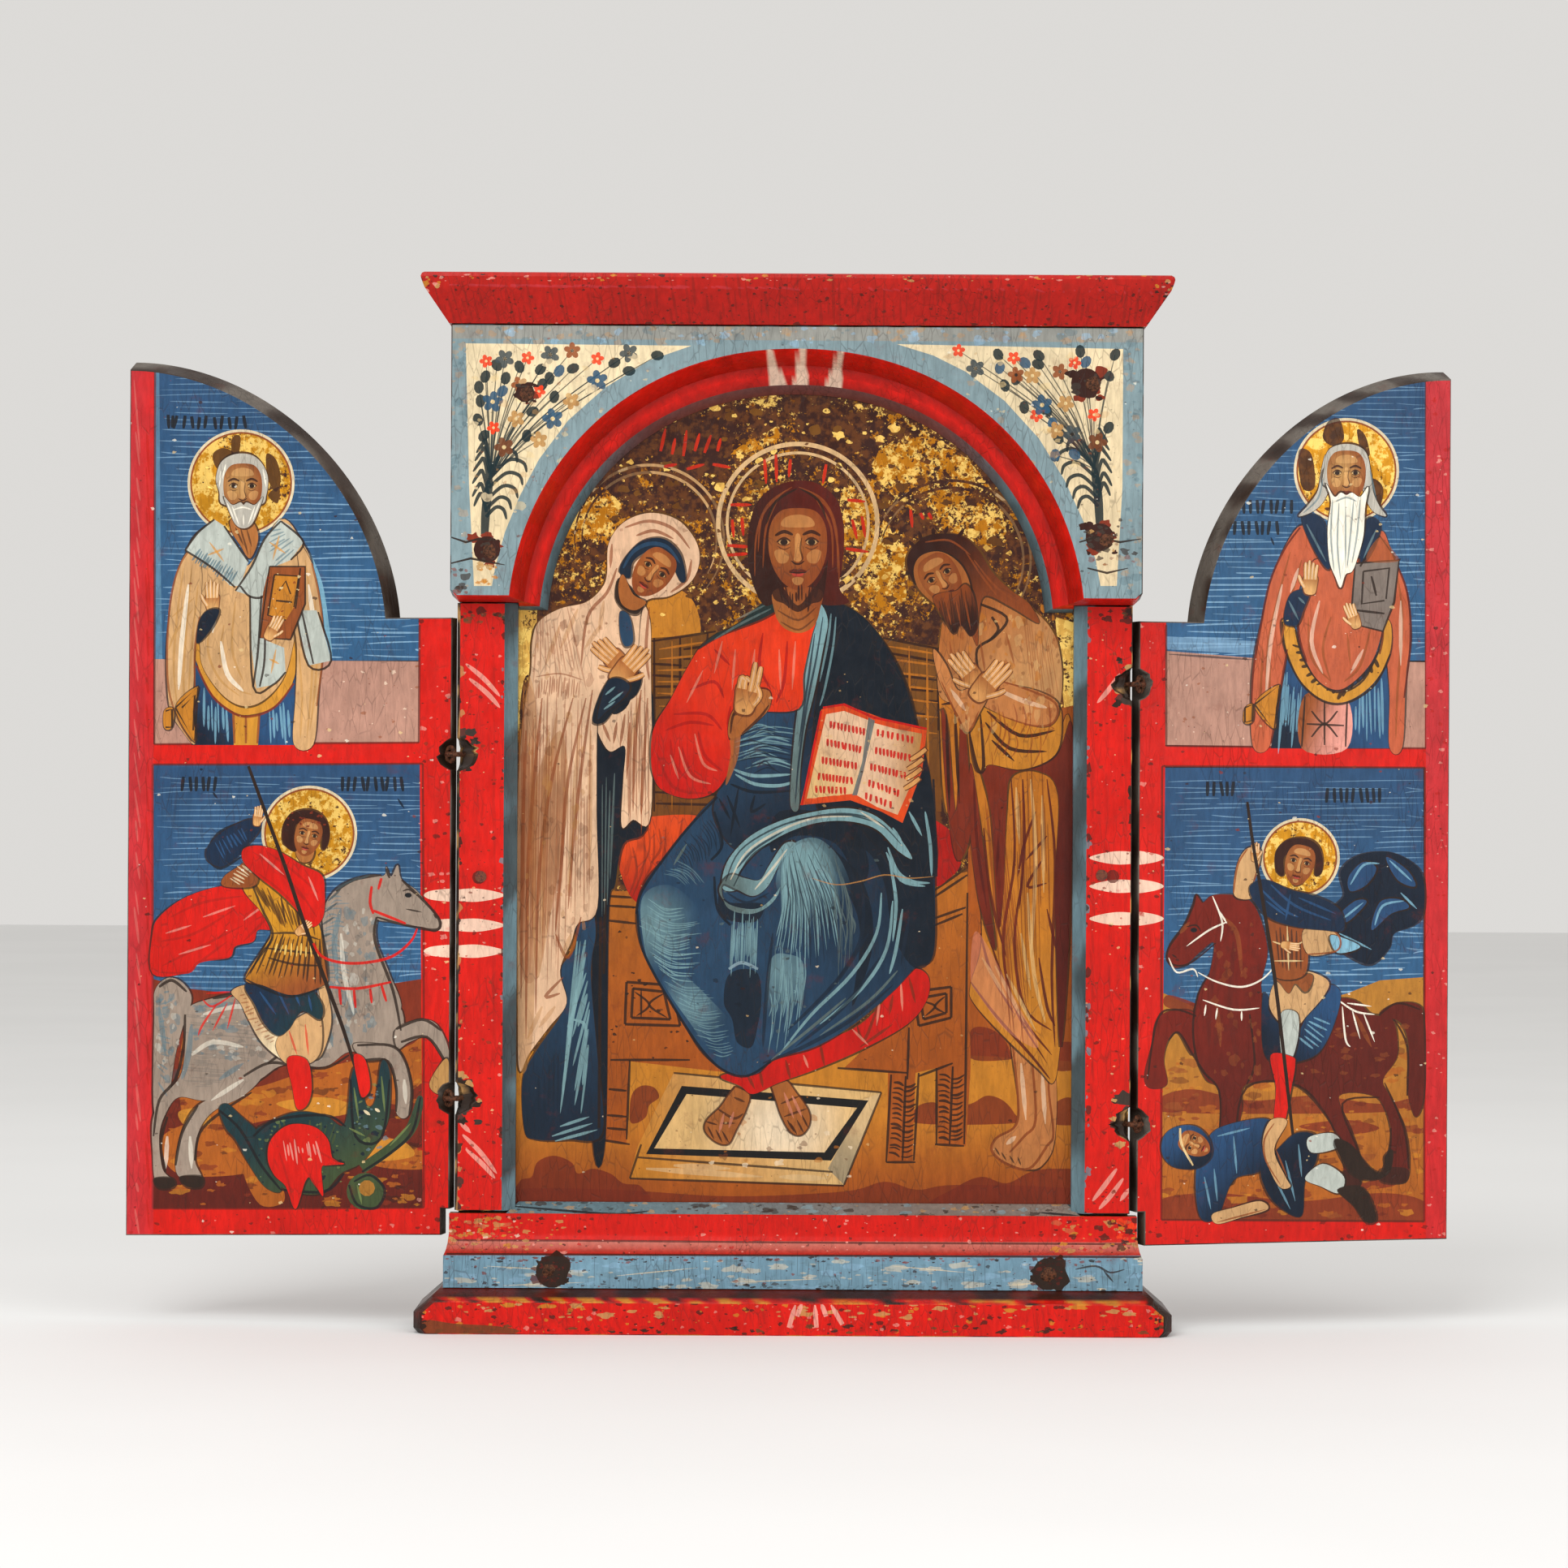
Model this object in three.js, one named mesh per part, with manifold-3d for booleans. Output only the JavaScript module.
import * as THREE from 'three';
import { mergeVertices } from 'three/addons/utils/BufferGeometryUtils.js';
import Module from 'manifold-3d';

const wasm = await Module();
wasm.setup();

// Sizes in millimetres. X runs left to right, -Y is the front, Z is up.
// The pilaster fronts lie in the plane Y = 0 and the plinth stands on Z = 0.

// Clearances
const joint = 0.3; // gap between fixed pieces that touch
const cutMargin = 1; // how far a cutting shape passes the face it cuts
const wireGap = 0.3; // gap round a wire or a nail in its hole

// Case widths, from the middle outwards
const caseHalf = 152.6; // half the width of the base rail
const archHalfWidth = caseHalf - 0.2;
const pilasterOuter = caseHalf - 3.3;
const pilasterWidth = 20.4;
const pilasterInner = pilasterOuter - pilasterWidth;
const pilasterChamferRun = 5.4;
const pilasterRebate = pilasterInner - pilasterChamferRun;
const pilasterChamferDepth = 6;

// Back panel
const panelHalfWidth = pilasterOuter - joint;
const panelFront = 8.3;
const panelThickness = 22;
const panelBack = panelFront + panelThickness;

// Plinth
const plinthHeight = 19;
const plinthHalfWidth = caseHalf + 14.4;
const plinthFront = -20;
const plinthBackOverhang = 7.7;
const plinthShoulderDrop = 9.6;
const plinthShoulderRun = 11;
const plinthToeRun = 2.2;
const plinthToeRise = 2.4;
const plinthWeatheringRun = 12;
const plinthWeatheringDrop = 4.6;
const plinthCornerRun = 3.6;
const plinthCornerDepth = 5;

// Base rail
const railBottom = plinthHeight + joint;
const fasciaHeight = 14.5;
const coveHeight = 8.7;
const stripHeight = 9;
const railFasciaTop = railBottom + fasciaHeight;
const railCoveTop = railFasciaTop + coveHeight;
const railTop = railCoveTop + stripHeight;
const railFasciaHalfWidth = caseHalf + 3.4;
const railFasciaFront = -8;
const railBack = panelFront - joint;
const coveSteps = 5;
const ledgeHeight = 4.7;
const ledgeFrontSet = 7.2;
const ledgeRoot = 0.5;
const ledgeGap = 1.3; // ends of the ledge to the pilaster chamfers

// Pilasters
const pilasterBottom = railTop + 1.1;
const pilasterLength = 269.7;
const pilasterTop = pilasterBottom + pilasterLength;
const legBottom = pilasterTop + joint;

// Arch board, with half widths and tops of the arch at five depths
const archFront = -17;
const archBack = panelFront - joint;
const archTop = legBottom + 121.7;
const legInnerBottom = legBottom - 3.2;
const legCornerRun = 2.8;
const legCornerRise = 2.6;
const legUnderRise = 2;
const springing = legBottom - 14.6;
const archPower = 2.1;
const archSegments = 36;
const archLip = { y: archFront, half: caseHalf - 25.6, top: archTop - 10.5 };
const archStop = { y: -1.2, half: archLip.half - 5.6, top: archLip.top - 5.8 };
const archCove = { y: 1.5, half: archStop.half - 3.9, top: archStop.top - 3.8 };
const archEdge = { y: 4, half: archCove.half - 2.9, top: archCove.top - 4.2 };
const archSight = { y: archBack, half: archEdge.half - 3.6, top: archEdge.top - 4 };
const archLipSlope = (archLip.half - archStop.half) / (archStop.y - archLip.y);
const archSightSlope = (archEdge.half - archSight.half) / (archSight.y - archEdge.y);

// Cornice, at the four levels where its splay changes
const corniceBottom = archTop + joint;
const corniceBack = panelBack;
const corniceFoot = { z: corniceBottom, half: archHalfWidth + 1, front: archFront - 1 };
const corniceNeck = { z: corniceFoot.z + 14.9, half: corniceFoot.half + 10.2, front: corniceFoot.front - 9.6 };
const corniceBrow = { z: corniceNeck.z + 4.7, half: corniceNeck.half + 1.6, front: corniceNeck.front - 1.4 };
const corniceCrown = { z: corniceBrow.z + 2, half: corniceBrow.half - 1.6, front: corniceBrow.front + 1.6 };
const corniceLevels = [corniceFoot, corniceNeck, corniceBrow, corniceCrown];

// Wings, drawn closed: the painted face looks back and the outer face forward
const hingeX = pilasterOuter + 2.1;
const wingThickness = 10;
const wingGap = 1.6; // painted face to the pilaster front when closed
const wingEdgeGap = 1.6; // hinge edge of the wing to the hinge axis
const wingMeeting = 0.5; // half the gap where the closed wings meet
const wingTop = archLip.top - 2.6;
const wingStep = legBottom - 6.9;
const wingArchHalf = archLip.half - 3;
const wingBevel = 4;
const wingPower = 1.9;
const wingSegments = 18;
const wingBottom = railCoveTop - 4.2;
const leftWingRise = 3.2; // the left wing is cut shorter at its hinge side
const rightWingRise = 0;
const wingNotchWidth = 3.8;
const wingNotchTop = railTop + 1.7;
const leftOpen = 10; // degrees past flat in the photographed position
const rightOpen = 16;

// Hinges of interlinked wire eyes
const eyeRadius = 3;
const wireRadius = 1.1;
const frameShank = 9.2; // from the hinge axis to the end of the frame eye
const wingShank = 12; // from the hinge axis to the end of the wing eye
const frameNotch = 6.6;
const wingNotch = 7.6;
const notchHalfHeight = 4.7;
const eyeSegments = 20;
const wireSides = 8;
const eyeLevels = {
  left: { upper: pilasterBottom + 202.4, lower: pilasterBottom + 49.8 },
  right: { upper: pilasterBottom + 235, lower: pilasterBottom + 39.8 },
};

// Forged nails and wooden pegs
const nailHeadRadius = 4.3;
const nailHeadRise = 1.9;
const nailCrown = 0.45;
const nailShankRadius = 1.4;
const nailLength = 13;
const nailSides = 12;
const nails = {
  nail_left_leg: { x: -archHalfWidth + 17, z: legBottom + 21.8, face: archFront },
  nail_left_corner: { x: -archHalfWidth + 33.4, z: archTop - 30.5, face: archFront },
  nail_right_corner: { x: archHalfWidth - 22.4, z: archTop - 24.8, face: archFront },
  nail_right_leg: { x: archHalfWidth - 16, z: legBottom + 27.7, face: archFront },
  nail_left_rail: { x: -caseHalf + 44.6, z: railBottom + 7.6, face: railFasciaFront },
  nail_right_rail: { x: caseHalf - 39.6, z: railBottom + 7.4, face: railFasciaFront },
};
const pegRadius = 2.6;
const pegProud = 0.5;
const pegLength = 7;
const pegs = {
  peg_left: { x: -pilasterOuter + 10, z: pilasterBottom + 148.2 },
  peg_right: { x: pilasterOuter - 13.2, z: pilasterBottom + 150.2 },
};

// Colours taken by eye from the photograph
const red = { color: 0xc92a1f, roughness: 0.5, metalness: 0 };
const darkRed = { color: 0xb0261c, roughness: 0.5, metalness: 0 };
const greyBlue = { color: 0x86a3ab, roughness: 0.55, metalness: 0 };
const skyBlue = { color: 0x3f6c98, roughness: 0.5, metalness: 0 };
const gold = { color: 0xb98736, roughness: 0.45, metalness: 0.2 };
const iron = { color: 0x4a3a33, roughness: 0.75, metalness: 0.5 };
const pegWood = { color: 0x7d3a26, roughness: 0.7, metalness: 0 };

/** Turns a three.js geometry into a manifold solid. */
function solid(geometry) {
  const bare = geometry.clone();
  bare.deleteAttribute('normal');
  bare.deleteAttribute('uv');
  const merged = mergeVertices(bare, 1e-5);
  return new wasm.Manifold(new wasm.Mesh({
    numProp: 3,
    vertProperties: new Float32Array(merged.attributes.position.array),
    triVerts: new Uint32Array(merged.index.array),
  }));
}

/** Turns a manifold solid back into a three.js geometry. */
function geometryOf(body) {
  const mesh = body.getMesh();
  const geometry = new THREE.BufferGeometry();
  geometry.setAttribute('position', new THREE.BufferAttribute(mesh.vertProperties, 3));
  geometry.setIndex(new THREE.BufferAttribute(mesh.triVerts, 1));
  const flat = geometry.toNonIndexed();
  flat.computeVertexNormals();
  return flat;
}

/** Joins outlines of one point count, one at each level, into a closed prism along +Z. */
function loft(levels) {
  const first = levels[0].outline;
  const shape = new THREE.Shape(first.map(([u, v]) => new THREE.Vector2(u, v)));
  const steps = levels.length - 1;
  const geometry = new THREE.ExtrudeGeometry(shape, { depth: steps, steps, bevelEnabled: false });
  const position = geometry.attributes.position;
  for (let i = 0; i < position.count; i += 1) {
    const level = levels[Math.round(position.getZ(i))];
    let nearest = 0;
    let best = Infinity;
    first.forEach(([u, v], k) => {
      const away = Math.hypot(position.getX(i) - u, position.getY(i) - v);
      if (away < best) {
        best = away;
        nearest = k;
      }
    });
    const [u, v] = level.outline[nearest];
    position.setXYZ(i, u, v, level.at);
  }
  return geometry;
}

/** A loft whose outlines are (x, z) and whose levels are Y values, from back to front. */
function boardLoft(levels) {
  const turned = levels.map(({ y, outline }) => ({ at: -y, outline }));
  return loft(turned).rotateX(Math.PI / 2);
}

/** A straight board with an (x, z) outline between two Y values. */
function board(outline, back, front) {
  return boardLoft([{ y: back, outline }, { y: front, outline }]);
}

/** A straight bar along X with a (y, z) outline. */
function bar(outline, x0, x1) {
  const shape = new THREE.Shape(outline.map(([y, z]) => new THREE.Vector2(y, z)));
  const geometry = new THREE.ExtrudeGeometry(shape, { depth: x1 - x0, bevelEnabled: false });
  // Extruded (y, z, x) becomes (x, y, z) by turning about two axes
  geometry.rotateX(Math.PI / 2);
  geometry.rotateZ(Math.PI / 2);
  return geometry.translate(x0, 0, 0);
}

/** A rectangular (x, y) outline symmetric about X = 0. */
function plan(half, front, back) {
  return [[-half, front], [half, front], [half, back], [-half, back]];
}

/** A cylinder along a direction, from one point to another. */
function rod(from, to, radius, sides) {
  const axis = new THREE.Vector3().subVectors(to, from);
  const geometry = new THREE.CylinderGeometry(radius, radius, axis.length(), sides);
  const turn = new THREE.Quaternion().setFromUnitVectors(
    new THREE.Vector3(0, 1, 0),
    axis.clone().normalize(),
  );
  geometry.applyQuaternion(turn);
  const middle = new THREE.Vector3().addVectors(from, to).multiplyScalar(0.5);
  return geometry.translate(middle.x, middle.y, middle.z);
}

/** A solid turned about the Y axis and carried to a place on a front face. */
function turnedForward(profile, sides, x, y, z) {
  const points = profile.map(([r, forward]) => new THREE.Vector2(r, -forward));
  const geometry = new THREE.LatheGeometry(points, sides);
  return geometry.translate(x, y, z);
}

/** Points of a rounded arch from its right springing over the top to its left one. */
function archCurve(half, rise, power, segments) {
  const points = [];
  for (let i = 0; i <= segments; i += 1) {
    const angle = (Math.PI * i) / segments;
    const c = Math.cos(angle);
    const s = Math.max(Math.sin(angle), 0);
    const across = Math.sign(c) * Math.abs(c) ** (2 / power) * half;
    points.push([across, s ** (2 / power) * rise]);
  }
  return points;
}

/** The solid that is cut out of the arch board, wide at the front and narrow at the back. */
function archPlug() {
  const foot = legInnerBottom - cutMargin;
  const before = archLip.y - cutMargin;
  const behind = archSight.y + cutMargin;
  const lipGrow = archLipSlope * cutMargin;
  const sightShrink = archSightSlope * cutMargin;
  const levels = [
    { y: behind, half: archSight.half - sightShrink, top: archSight.top - sightShrink },
    archSight,
    archEdge,
    archCove,
    archStop,
    archLip,
    { y: before, half: archLip.half + lipGrow, top: archLip.top + lipGrow },
  ];
  return boardLoft(levels.map(({ y, half, top }) => {
    const curve = archCurve(half, top - springing, archPower, archSegments);
    const outline = curve.map(([x, rise]) => [x, Math.max(springing + rise, foot)]);
    return { y, outline };
  }));
}

/** The board with the arch, its two legs and the splayed edge of the arch. */
function archBoard() {
  const outer = [
    [-archHalfWidth + legCornerRun, legBottom],
    [-archHalfWidth, legBottom + legCornerRise],
    [-archHalfWidth, archTop],
    [archHalfWidth, archTop],
    [archHalfWidth, legBottom + legCornerRise],
    [archHalfWidth - legCornerRun, legBottom],
    [pilasterRebate - joint, legBottom],
    [pilasterRebate - joint, legInnerBottom],
    [-pilasterRebate + joint, legInnerBottom],
    [-pilasterRebate + joint, legBottom],
  ];
  const under = [
    [archFront - cutMargin, legInnerBottom - cutMargin],
    [archBack + cutMargin, legInnerBottom - cutMargin],
    [archBack, legInnerBottom],
    [0, legBottom],
    [archFront, legBottom + legUnderRise],
    [archFront - cutMargin, legBottom + legUnderRise],
  ];
  const side = archHalfWidth + cutMargin;
  return solid(board(outer, archBack, archFront))
    .subtract(solid(bar(under, -side, side)))
    .subtract(solid(archPlug()));
}

/** One pilaster strip, sign -1 for the left and 1 for the right. */
function pilaster(sign) {
  const outline = [
    [sign * pilasterInner, 0],
    [sign * pilasterOuter, 0],
    [sign * pilasterOuter, archBack],
    [sign * pilasterRebate, archBack],
    [sign * pilasterRebate, pilasterChamferDepth],
  ];
  return solid(loft([{ at: pilasterBottom, outline }, { at: pilasterTop, outline }]));
}

/** The moulded rail under the pilasters, with returns at its ends and the sloping ledge. */
function baseRail() {
  const levels = [
    { at: railBottom, outline: plan(railFasciaHalfWidth, railFasciaFront, railBack) },
    { at: railFasciaTop, outline: plan(railFasciaHalfWidth, railFasciaFront, railBack) },
  ];
  for (let i = 1; i <= coveSteps; i += 1) {
    const climb = i / coveSteps;
    const out = 1 - Math.sqrt(1 - (1 - climb) ** 2);
    const half = caseHalf + (railFasciaHalfWidth - caseHalf) * out;
    const z = railFasciaTop + (railCoveTop - railFasciaTop) * climb;
    levels.push({ at: z, outline: plan(half, railFasciaFront * out, railBack) });
  }
  levels.push({ at: railTop, outline: plan(caseHalf, 0, railBack) });
  const front = pilasterInner - ledgeGap;
  const rear = pilasterRebate - ledgeGap;
  const turn = pilasterChamferDepth + joint;
  const foot = [
    [-front, joint], [front, joint], [rear, turn], [rear, railBack], [-rear, railBack], [-rear, turn],
  ];
  const crest = (ledgeFrontSet + railBack) / 2;
  const head = [
    [-rear, ledgeFrontSet], [rear, ledgeFrontSet], [rear, crest],
    [rear, railBack], [-rear, railBack], [-rear, crest],
  ];
  const ledge = loft([
    { at: railTop - ledgeRoot, outline: foot },
    { at: railTop + ledgeHeight, outline: head },
  ]);
  return solid(loft(levels)).add(solid(ledge));
}

/** The plinth board with sloped shoulders, sloping top edge and cut front corners. */
function plinth() {
  const back = panelBack + plinthBackOverhang;
  const half = plinthHalfWidth;
  const outline = [
    [-half + plinthToeRun, 0],
    [half - plinthToeRun, 0],
    [half, plinthToeRise],
    [half, plinthHeight - plinthShoulderDrop],
    [half - plinthShoulderRun, plinthHeight],
    [-half + plinthShoulderRun, plinthHeight],
    [-half, plinthHeight - plinthShoulderDrop],
    [-half, plinthToeRise],
  ];
  const weathering = [
    [plinthFront, plinthHeight - plinthWeatheringDrop],
    [plinthFront + plinthWeatheringRun, plinthHeight],
    [plinthFront + plinthWeatheringRun, plinthHeight + cutMargin],
    [plinthFront - cutMargin, plinthHeight + cutMargin],
    [plinthFront - cutMargin, plinthHeight - plinthWeatheringDrop],
  ];
  const footprint = [
    [-half + plinthCornerRun, plinthFront],
    [half - plinthCornerRun, plinthFront],
    [half, plinthFront + plinthCornerDepth],
    [half, back],
    [-half, back],
    [-half, plinthFront + plinthCornerDepth],
  ];
  return solid(board(outline, back, plinthFront))
    .intersect(solid(loft([
      { at: -cutMargin, outline: footprint },
      { at: plinthHeight + cutMargin, outline: footprint },
    ])))
    .subtract(solid(bar(weathering, -half - cutMargin, half + cutMargin)));
}

/** A wing in its closed place, sign -1 for the left and 1 for the right. */
function closedWing(sign, bottomRise) {
  const hingeEdge = hingeX - wingEdgeGap;
  const outlineAt = (bevel) => {
    const rise = wingTop - bevel - springing;
    const half = wingArchHalf - bevel;
    const points = [
      [wingMeeting, wingBottom],
      [hingeEdge - wingNotchWidth, wingBottom + bottomRise],
      [hingeEdge - wingNotchWidth, wingNotchTop],
      [hingeEdge, wingNotchTop],
      [hingeEdge, wingStep],
    ];
    for (let i = 0; i <= wingSegments; i += 1) {
      const z = wingStep + (springing + rise - wingStep) * Math.sin((Math.PI * i) / (2 * wingSegments));
      const share = Math.min((z - springing) / rise, 1);
      const across = half * (1 - share ** wingPower) ** (1 / wingPower);
      points.push([Math.max(across, wingMeeting), i === wingSegments ? springing + rise : z]);
    }
    return points.map(([x, z]) => [sign * x, z]);
  };
  return boardLoft([
    { y: -wingGap, outline: outlineAt(wingBevel) },
    { y: -wingGap - wingThickness, outline: outlineAt(0) },
  ]);
}

/** Turns a geometry from the closed place of a wing to its open place in the photograph. */
function opened(geometry, sign) {
  const past = sign > 0 ? rightOpen : leftOpen;
  const angle = sign * THREE.MathUtils.degToRad(180 + past);
  return geometry
    .translate(-sign * hingeX, 0, 0)
    .rotateZ(angle)
    .translate(sign * hingeX, 0, 0);
}

/** A point at a distance from the hinge axis, turned by an angle from straight out. */
function hingePoint(sign, distance, degrees, z) {
  const angle = THREE.MathUtils.degToRad(degrees);
  const x = sign * (hingeX + distance * Math.cos(angle));
  return new THREE.Vector3(x, distance * Math.sin(angle), z);
}

const frameEyeAngle = 135; // back and inward, into the pilaster
const wingEyeAngle = 225; // front and inward, into the closed wing

/** The eye that is driven into the pilaster: a level ring with a straight shank. */
function frameEye(sign, z) {
  const ring = new THREE.TorusGeometry(eyeRadius, wireRadius, wireSides, eyeSegments);
  ring.translate(sign * hingeX, 0, z);
  const shank = rod(
    hingePoint(sign, eyeRadius, frameEyeAngle, z),
    hingePoint(sign, frameShank, frameEyeAngle, z),
    wireRadius,
    wireSides,
  );
  return solid(ring).add(solid(shank));
}

/** The eye that is driven into the wing: an upright ring through the frame eye. */
function wingEye(sign, z) {
  const ring = new THREE.TorusGeometry(eyeRadius, wireRadius, wireSides, eyeSegments);
  ring.rotateX(Math.PI / 2);
  ring.rotateZ(sign * THREE.MathUtils.degToRad(wingEyeAngle));
  const centre = hingePoint(sign, eyeRadius, wingEyeAngle, z);
  ring.translate(centre.x, centre.y, centre.z);
  const shank = rod(
    hingePoint(sign, 2 * eyeRadius, wingEyeAngle, z),
    hingePoint(sign, wingShank, wingEyeAngle, z),
    wireRadius,
    wireSides,
  );
  return solid(opened(geometryOf(solid(ring).add(solid(shank))), sign));
}

/** The space for a hinge in the pilaster: the notch and the hole for the shank. */
function frameHingeSpace(sign, z) {
  const notch = rod(
    hingePoint(sign, 0, 0, z - notchHalfHeight),
    hingePoint(sign, 0, 0, z + notchHalfHeight),
    frameNotch,
    eyeSegments,
  );
  const hole = rod(
    hingePoint(sign, eyeRadius, frameEyeAngle, z),
    hingePoint(sign, frameShank + wireGap, frameEyeAngle, z),
    wireRadius + wireGap,
    wireSides,
  );
  return solid(notch).add(solid(hole));
}

/** The space for a hinge in the closed wing: the notch and the hole for the shank. */
function wingHingeSpace(sign, z) {
  const notch = rod(
    hingePoint(sign, 0, 0, z - notchHalfHeight),
    hingePoint(sign, 0, 0, z + notchHalfHeight),
    wingNotch,
    eyeSegments,
  );
  const hole = rod(
    hingePoint(sign, 2 * eyeRadius, wingEyeAngle, z),
    hingePoint(sign, wingShank + wireGap, wingEyeAngle, z),
    wireRadius + wireGap,
    wireSides,
  );
  return solid(notch).add(solid(hole));
}

/** A nail with a domed head, its shank in the wood behind the face. */
function nail({ x, z, face }) {
  const profile = [
    [0, joint + nailHeadRise],
    [nailHeadRadius * 0.6, joint + nailHeadRise - nailCrown],
    [nailHeadRadius, joint + nailCrown],
    [nailHeadRadius, joint],
    [nailShankRadius, joint],
    [nailShankRadius, -nailLength],
    [0, -nailLength],
  ];
  return turnedForward(profile, nailSides, x, face, z);
}

/** The hole of a nail. */
function nailHole({ x, z, face }) {
  return rod(
    new THREE.Vector3(x, face - cutMargin, z),
    new THREE.Vector3(x, face + nailLength + wireGap, z),
    nailShankRadius + wireGap,
    nailSides,
  );
}

/** A wooden peg, standing a little proud of the pilaster. */
function peg({ x, z }) {
  return rod(
    new THREE.Vector3(x, -pegProud, z),
    new THREE.Vector3(x, pegLength, z),
    pegRadius,
    nailSides,
  );
}

/** The hole of a peg. */
function pegHole({ x, z }) {
  return rod(
    new THREE.Vector3(x, -cutMargin, z),
    new THREE.Vector3(x, pegLength + joint, z),
    pegRadius + joint,
    nailSides,
  );
}

const part = new THREE.Group();

/** Adds one named piece to the part. */
function addPiece(name, geometry, finish) {
  const mesh = new THREE.Mesh(geometry, new THREE.MeshStandardMaterial(finish));
  mesh.name = name;
  part.add(mesh);
}

const panelOutline = [
  [-panelHalfWidth, railBottom],
  [panelHalfWidth, railBottom],
  [panelHalfWidth, archTop],
  [-panelHalfWidth, archTop],
];
addPiece('back_panel', geometryOf(solid(board(panelOutline, panelBack, panelFront))), gold);

let arch = archBoard();
let rail = baseRail();
for (const [name, place] of Object.entries(nails)) {
  const hole = solid(nailHole(place));
  if (place.face === archFront) {
    arch = arch.subtract(hole);
  } else {
    rail = rail.subtract(hole);
  }
  addPiece(name, geometryOf(solid(nail(place))), iron);
}
addPiece('arch_board', geometryOf(arch), greyBlue);
addPiece('base_rail', geometryOf(rail), greyBlue);
addPiece('plinth', geometryOf(plinth()), red);
addPiece('cornice', geometryOf(solid(loft(corniceLevels.map(({ z, half, front }) => (
  { at: z, outline: plan(half, front, corniceBack) }
))))), darkRed);

const sides = [
  { side: 'left', sign: -1, rise: leftWingRise, pegPlace: pegs.peg_left },
  { side: 'right', sign: 1, rise: rightWingRise, pegPlace: pegs.peg_right },
];
for (const { side, sign, rise, pegPlace } of sides) {
  let strip = pilaster(sign).subtract(solid(pegHole(pegPlace)));
  let wing = solid(closedWing(sign, rise));
  for (const [level, z] of Object.entries(eyeLevels[side])) {
    strip = strip.subtract(frameHingeSpace(sign, z));
    wing = wing.subtract(wingHingeSpace(sign, z));
    addPiece(`${side}_${level}_frame_eye`, geometryOf(frameEye(sign, z)), iron);
    addPiece(`${side}_${level}_wing_eye`, geometryOf(wingEye(sign, z)), iron);
  }
  addPiece(`${side}_pilaster`, geometryOf(strip), red);
  addPiece(`${side}_wing`, opened(geometryOf(wing), sign), skyBlue);
  addPiece(`peg_${side}`, geometryOf(solid(peg(pegPlace))), pegWood);
}

export default part;
